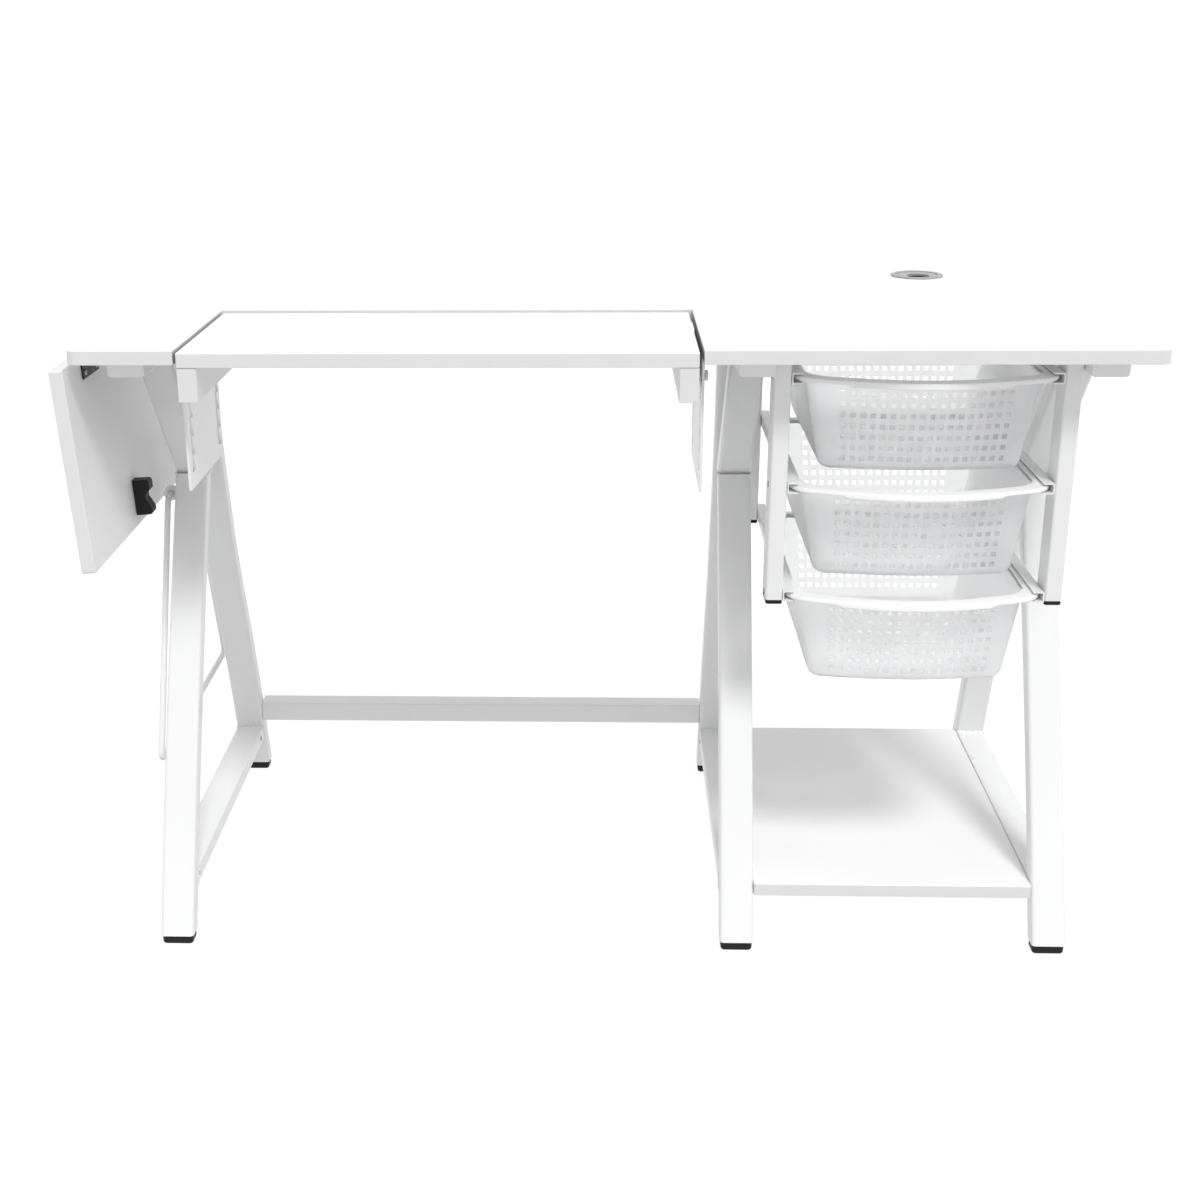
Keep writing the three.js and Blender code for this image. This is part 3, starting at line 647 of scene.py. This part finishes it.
def build_legs(side, x):
    parts = (
        ("front_leg", front_leg_line, FOOT_HEIGHT, KNEE_Z - GAP, 26),
        ("upper_strut", strut_line, KNEE_Z, RAIL_BOTTOM - GAP, 2),
        ("rear_leg", rear_leg_line, FOOT_HEIGHT, RAIL_BOTTOM - GAP, 40),
    )
    for name, line, z0, z1, steps in parts:
        bm = bmesh.new()
        add_loft(bm, [leg_section(x, line, z0 + (z1 - z0) * i / steps) for i in range(steps + 1)])
        piece(f"{side}_{name}_tube", bm, POWDER, stands_for=f"{side}_{name}")


def build_rail(side, x):
    bm = bmesh.new()
    half, reach = TUBE_WIDTH / 2, RAIL_REACH
    rim = [(0, 1.2), (0.4, 0.4), (1.2, 0)]
    ends = [(-reach + along, inset) for along, inset in rim]
    ends += [(reach - along, inset) for along, inset in reversed(rim)]
    loops = []
    for y, inset in ends:
        x0, x1 = x - half + inset, x + half - inset
        section = rounded(x0, x1, RAIL_BOTTOM + inset, STEEL_TOP - inset, 4, 5)
        loops.append([(px, y, pz) for px, pz in section])
    add_loft(bm, loops)
    for y in (-225, 0, 190):
        add_screw(bm, (x, y, RAIL_BOTTOM), "-Z", 4.2, 1, 2)
    materials = [POWDER, ZINC, PAINTED_SHADE_BLACK]
    piece(f"{side}_rail_tube", bm, materials, stands_for=f"{side}_top_rail")


def build_bar(side, x):
    bm = bmesh.new()
    loops = []
    for line, sign in ((front_leg_line, 1), (rear_leg_line, -1)):
        loop = []
        for px, pz in bar_section(x):
            y, half = across(line, pz)
            loop.append((px, y + sign * (half + GAP), pz))
        loops.append(loop)
    add_loft(bm, loops)
    bolt_sides = {"left": [1], "middle": [-1, 1], "right": [-1]}[side]
    for sign in bolt_sides:
        axis = "X" if sign > 0 else "-X"
        for y in (-207, 217):
            centre = (x + sign * (TUBE_WIDTH / 2 - 1), y, BAR_TOP - 9)
            add_turned(bm, [(4.6, -0.2), (4.6, 0.5), (3.9, 1.0), (2.7, 1.1)], centre, axis, index=1)
            # The socket in each bolt head is painted near black as shade.
            add_turned(bm, [(2.7, 0.2), (2.7, 1.15), (0.4, 1.15)], centre, axis, index=2)
    materials = [POWDER, WELD, PAINTED_SHADE_BLACK]
    piece(f"{side}_bar_tube", bm, materials, stands_for=f"{side}_bottom_bar")


def build_feet(side):
    for end in ("front", "rear"):
        low, high = node_box(f"{side}_foot_{end}")
        bm = bmesh.new()
        levels = [(3.4, 0), (1.6, 0.5), (0.5, 1.8), (0, 3.6), (0, high.z - 0.8), (0.6, high.z)]
        loops = []
        for inset, z in levels:
            x0, x1, y0, y1 = low.x + inset, high.x - inset, low.y + inset, high.y - inset
            loops.append([(px, py, z) for px, py in rounded(x0, x1, y0, y1, max(5 - inset, 1.2), 6)])
        add_loft(bm, loops)
        name = f"{side}_{end}_foot_cap"
        piece(name, bm, BLACK_PLASTIC, stands_for=f"{side}_foot_{end}")


def build_welds(side, x):
    """Beads at the knee, under the rail and at both ends of the low bar."""
    bm = bmesh.new()
    knee = leg_section(x, front_leg_line, KNEE_Z)
    add_weld(bm, [(px, py, KNEE_Z + 0.2) for px, py, _ in knee], 1.5)
    for line in (strut_line, rear_leg_line):
        top = leg_section(x, line, RAIL_BOTTOM - 0.5)
        add_weld(bm, [(px, py, RAIL_BOTTOM - 0.6) for px, py, _ in top], 1.6)
    for line, sign in ((front_leg_line, 1), (rear_leg_line, -1)):
        ring = []
        for px, pz in bar_section(x):
            y, half = across(line, pz)
            ring.append((px, y + sign * (half + 0.6), pz))
        add_weld(bm, ring, 1.7)
    # Four drops of weld lie on the bar in front of the rear leg.
    y, half = across(rear_leg_line, BAR_TOP)
    for k, aside in enumerate((-11, -3, 6, 14)):
        spread = 4.2 - 0.5 * (k % 2)
        dome = [(spread, -0.3), (spread * 0.9, 0.7), (spread * 0.55, 1.5), (0.3, 1.8)]
        add_turned(bm, dome, (x + aside, y - half - 2.2, BAR_TOP), "Z", 18)
    piece(f"{side}_welds", bm, POWDER, sharp=80, weighted=False)


def build_stretcher_and_shelf():
    low, high = node_box("rear_stretcher")
    bm = bmesh.new()
    section = rounded(low.y, high.y, low.z, high.z, 3, 5)
    add_loft(bm, [[(px, y, z) for y, z in section] for px in (low.x, high.x)])
    piece("stretcher_tube", bm, POWDER, stands_for="rear_stretcher")
    low, high = node_box("lower_shelf")
    bm = filled([rounded(low.x, high.x, low.y, high.y, 3, 4)], low.z, high.z, 0.7)
    piece("shelf_board", bm, [LAMINATE, EDGE_BAND_PAINTED_SHADE], stands_for="lower_shelf", sharp=50)


# ---------------------------------------------------------------- basket cabinet
def build_posts():
    for side in ("left", "right"):
        for end in ("front", "rear"):
            name = f"cabinet_post_{end}_{side}"
            low, high = node_box(name)
            bm = bmesh.new()
            loops = []
            for inset, z in ((0.6, low.z), (0, low.z + 0.6), (0, high.z)):
                x0, x1, y0, y1 = low.x + inset, high.x - inset, low.y + inset, high.y - inset
                loops.append([(px, py, z) for px, py in rounded(x0, x1, y0, y1, 3, 5)])
            add_loft(bm, loops)
            outer, away = (low.x, "-X") if side == "left" else (high.x, "X")
            # The rivets are painted near black with the shade material.
            rivet = [(4.0, -0.2), (4.0, 0.2), (3.2, 0.28), (0.3, 0.28)]
            for z in POST_RIVETS:
                add_turned(bm, rivet, (outer, (low.y + high.y) / 2, z), away, 20, 1)
            piece(f"post_{end}_{side}", bm, [POWDER, PAINTED_SHADE_BLACK], stands_for=name)
            cap = f"post_cap_{end}_{side}"
            low, high = node_box(cap)
            bm = bmesh.new()
            add_block(bm, low.x, high.x, low.y, high.y, low.z, high.z, 3, 1.2)
            piece(f"post_plug_{end}_{side}", bm, BLACK_PLASTIC, stands_for=cap)


def build_runners():
    wall = RUNNER_WALL
    for level in ("top", "middle", "bottom"):
        for side in ("left", "right"):
            name = f"runner_{level}_{side}"
            low, high = node_box(name)
            web, inward, axis = (low.x, 1, "X") if side == "left" else (high.x, -1, "-X")
            reach, tall = high.x - low.x, high.z - low.z
            # The lower half of the C section, as distances from the web and from the nearer flange.
            half_section = [
                (0.8, 0), (reach - 0.5, 0), (reach, 0.5), (reach, wall - 0.4),
                (reach - 0.4, wall), (wall + 1, wall), (wall, wall + 1),
            ]
            section = half_section + [(aside, tall - up) for aside, up in reversed(half_section)]
            section += [(0, tall - 0.8), (0, 0.8)]
            outline = [(web + inward * aside, low.z + up) for aside, up in section]
            bm = bmesh.new()
            add_loft(bm, [[(px, y, pz) for px, pz in outline] for y in (low.y, high.y)])
            for y in (-220, 110):
                add_screw(bm, (web + inward * wall, y, (low.z + high.z) / 2), axis, 3.0, 1, 2)
            materials = [POWDER, ZINC, PAINTED_SHADE_BLACK]
            piece(f"slide_{level}_{side}", bm, materials, stands_for=name, sharp=30)


def hole_edges():
    """The two sides of every hole column, from the middle of the wall, and whether a hole starts there."""
    lines = []
    for k in range(COLUMNS):
        x = (k - (COLUMNS - 1) / 2) * PITCH_X
        lines.extend([(x - HOLE / 2, True), (x + HOLE / 2, False)])
    return lines


def basket_loop(half, front, back, radius, bow, squeeze=1.0):
    """One level outline, always with the same number of points, and which of its spans are hole columns.

    It is a rounded rectangle about the middle of the basket, and its front edge bows towards the sitter.
    """
    points, spans = [], []

    def pierced(y, sign):
        points.append((-sign * (half - radius), y))
        spans.append(False)
        for x, opens in hole_edges():
            points.append((sign * x * squeeze, y))
            spans.append(opens)

    def corner(cx, cy, start):
        for i in range(8):
            angle = math.radians(start + 90 * i / 8)
            points.append((cx + radius * math.cos(angle), cy + radius * math.sin(angle)))
            spans.append(False)

    def plain(x, start, run):
        for i in range(1, 7):
            points.append((x, start + run * i / 7))
            spans.append(False)

    run = back - front - 2 * radius
    pierced(front, 1)
    corner(half - radius, front + radius, -90)
    plain(half, front + radius, run)
    corner(half - radius, back - radius, 0)
    pierced(back, -1)
    corner(-half + radius, back - radius, 90)
    plain(-half, back - radius, -run)
    corner(-half + radius, front + radius, 180)
    bent = []
    for x, y in points:
        forward = max(0.0, 1 - (y - front) / 60)
        bent.append((x, y - bow * math.cos(x / half * math.pi / 2) * forward))
    return bent, spans


def build_basket(level):
    """A tapered shell with square holes in its front and back, a rolled rim and a pierced floor."""
    low, high = node_box(f"basket_{level}")
    centre = (low.x + high.x) / 2
    rim_half = (high.x - low.x) / 2
    height = high.z - low.z
    top_half, foot_half = rim_half - 13, rim_half - 35
    rim_front, rim_back = low.y + BASKET_BOW, high.y
    under_rim = height - BASKET_RIM_HEIGHT
    wall = BASKET_WALL

    def shell(z, inset=0.0):
        t = z / height
        half = foot_half + (top_half - foot_half) * t - inset
        front, back = rim_front + 18 - 4 * t + inset, rim_back - 30 + 18 * t - inset
        radius = 15 + 11 * t - min(inset, 8)
        outline, _ = basket_loop(half, front, back, radius, BASKET_BOW * (0.3 + 0.55 * t), 0.94 + 0.06 * t)
        return [(centre + x, y, low.z + z) for x, y in outline]

    rim_outline, spans = basket_loop(rim_half, rim_front, rim_back, 22, BASKET_BOW)

    def rim(share, above, lip=0.0):
        """A loop between the shell and the rim's edge, lower by the lip in the middle of the front."""
        placed = []
        for (ix, iy, _), (ox, oy) in zip(shell(under_rim), rim_outline):
            x, y = ix + (centre + ox - ix) * share, iy + (oy - iy) * share
            in_lip = y < rim_front and abs(x - centre) < LIP_HALF
            placed.append((x, y, low.z + under_rim + above - (lip if in_lip else 0)))
        return placed

    rows = []
    for k in range(ROWS):
        z = FIRST_ROW + PITCH_Z * k
        rows.extend([(z - HOLE / 2, True), (z + HOLE / 2, False)])
    round_foot = [shell(0, 9), shell(0.7, 6), shell(2.4, 2.8), shell(5.2, 0.9), shell(8.6)]
    around = [
        rim(0, 0), rim(0.72, 0), rim(0.78, 0, LIP_DROP), rim(0.95, 0.5, LIP_DROP), rim(1, 1.7, LIP_DROP),
        rim(1, 3.8), rim(0.95, 5.3), rim(0.82, 6), rim(0.25, 6), rim(0.08, 5.6),
        shell(under_rim + 4.8, wall),
    ]
    bottom = [shell(8.6, wall), shell(5.4, wall + 1.2), shell(3.1, wall + 3.6), shell(2, 9)]
    bm = bmesh.new()

    def rings(outlines):
        return [[bm.verts.new(point) for point in outline] for outline in outlines]
    foot_rings = rings(round_foot)
    outer = rings([shell(z) for z, _ in rows])
    rim_rings = rings(around)
    inner = rings([shell(z, wall) for z, _ in rows])
    bottom_rings = rings(bottom)
    count = len(spans)

    def skin(lower, upper, pierced=False, index=0):
        for i in range(count):
            if pierced and spans[i]:
                continue
            j = (i + 1) % count
            bm.faces.new((lower[i], lower[j], upper[j], upper[i])).material_index = index

    def line_holes(out_low, out_high, in_low, in_high):
        for i in range(count):
            if spans[i]:
                j = (i + 1) % count
                bm.faces.new((out_low[i], out_low[j], in_low[j], in_low[i]))
                bm.faces.new((out_high[j], out_high[i], in_high[i], in_high[j]))
                bm.faces.new((out_low[j], out_high[j], in_high[j], in_low[j]))
                bm.faces.new((out_high[i], out_low[i], in_low[i], in_high[i]))

    for lower, upper in zip(foot_rings, foot_rings[1:] + outer[:1]):
        skin(lower, upper)
    for k, (_, opens) in enumerate(rows[:-1]):
        skin(outer[k], outer[k + 1], opens)
        skin(inner[k], inner[k + 1], opens)
        if opens:
            line_holes(outer[k], outer[k + 1], inner[k], inner[k + 1])
    skin(outer[-1], rim_rings[0])
    for lower, upper in zip(rim_rings, rim_rings[1:]):
        skin(lower, upper, index=1)
    skin(rim_rings[-1], inner[-1])
    skin(inner[0], bottom_rings[0])
    for lower, upper in zip(bottom_rings, bottom_rings[1:] + foot_rings[:1]):
        skin(lower, upper)
    add_basket_floor(bm, [(x, y) for x, y, _ in round_foot[0]], centre, low.z)
    for side in (-1, 1):
        x = centre + side * (foot_half - 22)
        for y in (rim_front + 62, rim_back - 62):
            add_block(bm, x - 8, x + 8, y - 8, y + 8, low.z - 3, low.z + 0.8, 3.5, 1.4)
    name = f"basket_shell_{level}"
    materials = [BASKET, BASKET_RIM]
    piece(name, bm, materials, f"{level}_basket", f"basket_{level}", 38)


def add_basket_floor(bm, outline, centre, bottom):
    """The flat floor of a basket with its grid of square holes."""
    columns, grid_rows, pitch, middle_y, half = 14, 17, 13, -61, 3
    holes = []
    for k in range(columns):
        for m in range(grid_rows):
            x = centre + (k - (columns - 1) / 2) * pitch
            y = middle_y + (m - (grid_rows - 1) / 2) * pitch
            holes.append(rounded(x - half, x + half, y - half, y + half, 0.6, 1))
    plate = filled([outline] + holes, bottom + 0.2, bottom + 1.9, 0.2)
    for face in plate.faces:
        face.material_index = 0
    scratch = bpy.data.meshes.new("floor")
    plate.to_mesh(scratch)
    plate.free()
    bm.from_mesh(scratch)
    bpy.data.meshes.remove(scratch)


# ---------------------------------------------------------------- drop leaf, hinges, catches and bail
def build_leaf():
    x1 = HINGE_X - LEAF_INSET
    outline = rounded(x1 - LEAF_SPAN, x1, -DESK_HALF_DEPTH, DESK_HALF_DEPTH, 3, 4)
    bm = filled([outline], BOARD_BOTTOM, DESK_TOP, 0.7)
    piece("leaf_board", bm, [LAMINATE, EDGE_BAND_PAINTED_SHADE], "leaf", "drop_leaf", 50, hung)


def build_hinges():
    """Each hinge has a fixed half with two knuckles and the pin, and a moving half with one knuckle."""
    third = HINGE_LENGTH / 3
    axis_point = (HINGE_X, 0, HINGE_Z)
    z1 = HINGE_Z + HINGE_DROP - GAP
    z0 = z1 - HINGE_SHEET
    for end, middle in HINGE_MIDDLE.items():
        y0 = middle - HINGE_LENGTH / 2
        y1 = y0 + HINGE_LENGTH
        for kind in ("fixed", "moving"):
            fixed = kind == "fixed"
            out, knuckles, bore, play = (1, (0, 2), 0.4, 0) if fixed else (-1, (1,), HINGE_PIN + 0.1, GAP)
            bm = bmesh.new()
            near = HINGE_X + out * 3.8
            x0, x1 = sorted((near, HINGE_X + out * HINGE_LEAF))
            add_block(bm, x0, x1, y0, y1, z0, z1, 2.2, GAP)
            for k in knuckles:
                a = y0 + k * third + play
                b = y0 + (k + 1) * third - play
                outer, soft = HINGE_KNUCKLE, HINGE_KNUCKLE - 0.3
                barrel = [(bore, a), (soft, a), (outer, a + 0.4), (outer, b - 0.4), (soft, b), (bore, b)]
                add_turned(bm, barrel, axis_point, "Y")
                x0, x1 = sorted((HINGE_X + out * 2.0, near + out * 2))
                add_block(bm, x0, x1, a, b, z0, z1, 0.3, 0.2)
            if fixed:
                pin = [(0.3, y0 - 0.4), (HINGE_PIN, y0 - 0.2), (HINGE_PIN, y1 + 0.2), (0.3, y1 + 0.4)]
                add_turned(bm, pin, axis_point, "Y", index=1)
            for y, away in ((y0 + 10, 20), (middle, 12), (y1 - 10, 20)):
                add_screw(bm, (HINGE_X + out * away, y, z0), "-Z", 3.4, 1, 2)
            body, where = ("root", None) if fixed else ("leaf", hung)
            name = f"hinge_{kind}_{end}"
            materials = [BLACK_STEEL, ZINC, PAINTED_SHADE_BLACK]
            piece(f"{name}_plate", bm, materials, body, name, where=where)


def build_catches():
    """The side view gives how far from the hinge axis and how far below the leaf each point is."""
    seat = SEAT_BELOW - BAIL_ROD - 0.5
    near, far, depth, reach = CATCH_NEAR, CATCH_FAR, CATCH_DEPTH, SEAT_REACH
    profile = [
        (near, GAP), (far, GAP), (far, depth - 5), (far - 1, depth - 2), (far - 3, depth - 0.2),
        (far - 6.5, depth), (reach + 14, depth - 1.3), (reach + 8, seat + 2.2), (reach + 3.5, seat - 0.2),
        (reach - 2, seat - 0.4), (reach - 6.5, depth - 2.2), (reach - 9, depth - 0.2), (near + 4, depth),
        (near + 1.2, depth - 1.2), (near, depth - 3.5),
    ]
    middle_away = sum(away for away, _ in profile) / len(profile)
    middle_below = sum(below for _, below in profile) / len(profile)
    soft_end = [(0, 0.96), (0.7, 0.99), (1.6, 1)]
    for end, front in CATCH_FRONT.items():
        back = front + CATCH_WIDTH
        slices = [(front + along, size) for along, size in soft_end]
        slices += [(back - along, size) for along, size in reversed(soft_end)]
        loops = []
        for y, size in slices:
            loop = []
            for away, below in profile:
                x = HINGE_X - (middle_away + (away - middle_away) * size)
                lower = max(middle_below + (below - middle_below) * size, GAP)
                loop.append((x, y, HINGE_Z + HINGE_DROP - lower))
            loops.append(loop)
        bm = bmesh.new()
        add_loft(bm, loops)
        piece(f"catch_{end}", bm, BLACK_PLASTIC, "leaf", f"leaf_catch_{end}", 25, hung)


def rounded_path(stops, radius, steps=8):
    """Points along straight runs with round bends between them."""
    stops = [Vector(stop) for stop in stops]
    path = [stops[0]]
    for before, corner, after in zip(stops, stops[1:], stops[2:]):
        into = corner + (before - corner).normalized() * radius
        out = corner + (after - corner).normalized() * radius
        for i in range(steps + 1):
            t = i / steps
            path.append(into * (1 - t) ** 2 + corner * 2 * t * (1 - t) + out * t * t)
    path.append(stops[-1])
    return path


def build_bail():
    """One bent rod and the two eyes it turns in. Raised, its low bar reaches the notches of the catches."""
    lift = math.hypot(BAIL_X - (HINGE_X - SEAT_REACH), BOARD_BOTTOM - SEAT_BELOW - BAIL_PIVOT_Z)
    high, low = BAIL_PIVOT_Z, BAIL_PIVOT_Z - lift
    stops = [(14, high), (-12, high), (-152, low), (240, low), (122, high), (96, high)]
    bm = bmesh.new()
    add_sweep(bm, rounded_path([(BAIL_X, y, z) for y, z in stops], BAIL_BEND), BAIL_ROD, 20)
    piece("bail_rod", bm, POWDER, "bail", "leaf_bail", 60)
    for end, y0 in EYE_FRONT.items():
        y1, soft = y0 + EYE_LENGTH, EYE_OUTER - 0.8
        eye = [
            (EYE_BORE, y0), (soft, y0), (EYE_OUTER, y0 + 0.8), (EYE_OUTER, y1 - 0.8),
            (soft, y1), (EYE_BORE, y1), (EYE_BORE, y0),
        ]
        bm = bmesh.new()
        add_turned(bm, eye, (BAIL_X, 0, BAIL_PIVOT_Z), "Y")
        piece(f"bail_eye_{end}", bm, POWDER, "root", f"bail_sleeve_{end}")


# ---------------------------------------------------------------- camera, light and floor
CAMERA_PLACE = (-17, -2133, 1125)
CAMERA_YAW, CAMERA_PITCH, CAMERA_ROLL = 0.03879, 0.3406, 0.008538
CAMERA_LENS, CAMERA_SHIFT = 50.85, (0.0549, 0.0037)
SKY_STRENGTH = 0.68
FLOOR_FLAT, FLOOR_CURVE, FLOOR_WALL_TOP, FAR_CLIP = 40, 30, 50, 400  # in metres


def build_camera(scene):
    yaw, pitch, roll = CAMERA_YAW, CAMERA_PITCH, CAMERA_ROLL
    forward = Vector((-math.sin(yaw) * math.cos(pitch), math.cos(yaw) * math.cos(pitch), -math.sin(pitch)))
    right = Vector((math.cos(yaw), math.sin(yaw), 0))
    down = forward.cross(right)
    turned_right = right * math.cos(roll) + down * math.sin(roll)
    turned_down = -right * math.sin(roll) + down * math.cos(roll)
    lens = bpy.data.cameras.new("camera")
    lens.sensor_width = 36
    lens.lens = CAMERA_LENS
    lens.shift_x, lens.shift_y = CAMERA_SHIFT
    lens.clip_end = FAR_CLIP
    camera = bpy.data.objects.new("camera", lens)
    axes = Matrix((turned_right, -turned_down, -forward)).transposed().to_4x4()
    camera.matrix_world = Matrix.Translation(place(CAMERA_PLACE)) @ axes
    scene.collection.objects.link(camera)
    scene.camera = camera


def build_light(scene):
    world = bpy.data.worlds.new("studio")
    world.use_nodes = True
    background = world.node_tree.nodes["Background"]
    background.inputs["Color"].default_value = (1, 1, 1, 1)
    background.inputs["Strength"].default_value = SKY_STRENGTH
    scene.world = world
    scene.view_settings.view_transform = "Standard"
    scene.view_settings.look = "None"
    for name, towards, strength in (("overhead", (0, -0.1, 1), 0.3), ("front", (0.2, -0.54, 0.82), 1.75)):
        light = bpy.data.lights.new(name, "SUN")
        light.energy = strength
        light.angle = math.radians(14)
        lamp = bpy.data.objects.new(name, light)
        lamp.rotation_euler = Vector(towards).to_track_quat("Z", "Y").to_euler()
        scene.collection.objects.link(lamp)


def build_floor(scene):
    """A wide flat floor that turns up into a far wall all round. It throws no light up at the table."""
    flat, curve = FLOOR_FLAT, FLOOR_CURVE
    turn = [math.radians(a) for a in range(10, 91, 10)]
    profile = [(0.5, 0), (flat, 0)]
    profile += [(flat + curve * math.sin(a), curve - curve * math.cos(a)) for a in turn]
    profile += [(flat + curve, FLOOR_WALL_TOP)]
    round_floor = [math.radians(a) for a in range(0, 360, 6)]
    bm = bmesh.new()
    rings = [[bm.verts.new((r * math.cos(a), r * math.sin(a), z)) for a in round_floor] for r, z in profile]
    bm.faces.new(rings[0])
    for low, high in zip(rings, rings[1:]):
        for i in range(len(low)):
            j = (i + 1) % len(low)
            bm.faces.new((low[i], low[j], high[j], high[i])).smooth = True
    mesh = bpy.data.meshes.new("floor")
    bm.to_mesh(mesh)
    bm.free()
    mesh.materials.append(material(
        "pale_floor", (0.16, 0.16, 0.16), (0.15, 0.15, 0.15), rough=(0.8, 0.9),
        blotch=2, grain=300, bump=0.02,
        Emission_Color=(1, 1, 1, 1), Emission_Strength=0.9, Specular_IOR_Level=0.1,
    ))
    floor = bpy.data.objects.new("floor", mesh)
    scene.collection.objects.link(floor)
    floor.visible_diffuse = False


build_camera(bpy.context.scene)
build_light(bpy.context.scene)
build_floor(bpy.context.scene)
build_desktop()
build_platform()
build_grommet()
build_height_plates()
build_frames()
build_stretcher_and_shelf()
build_posts()
build_runners()
for basket_level in ("top", "middle", "bottom"):
    build_basket(basket_level)
build_leaf()
build_hinges()
build_catches()
build_bail()
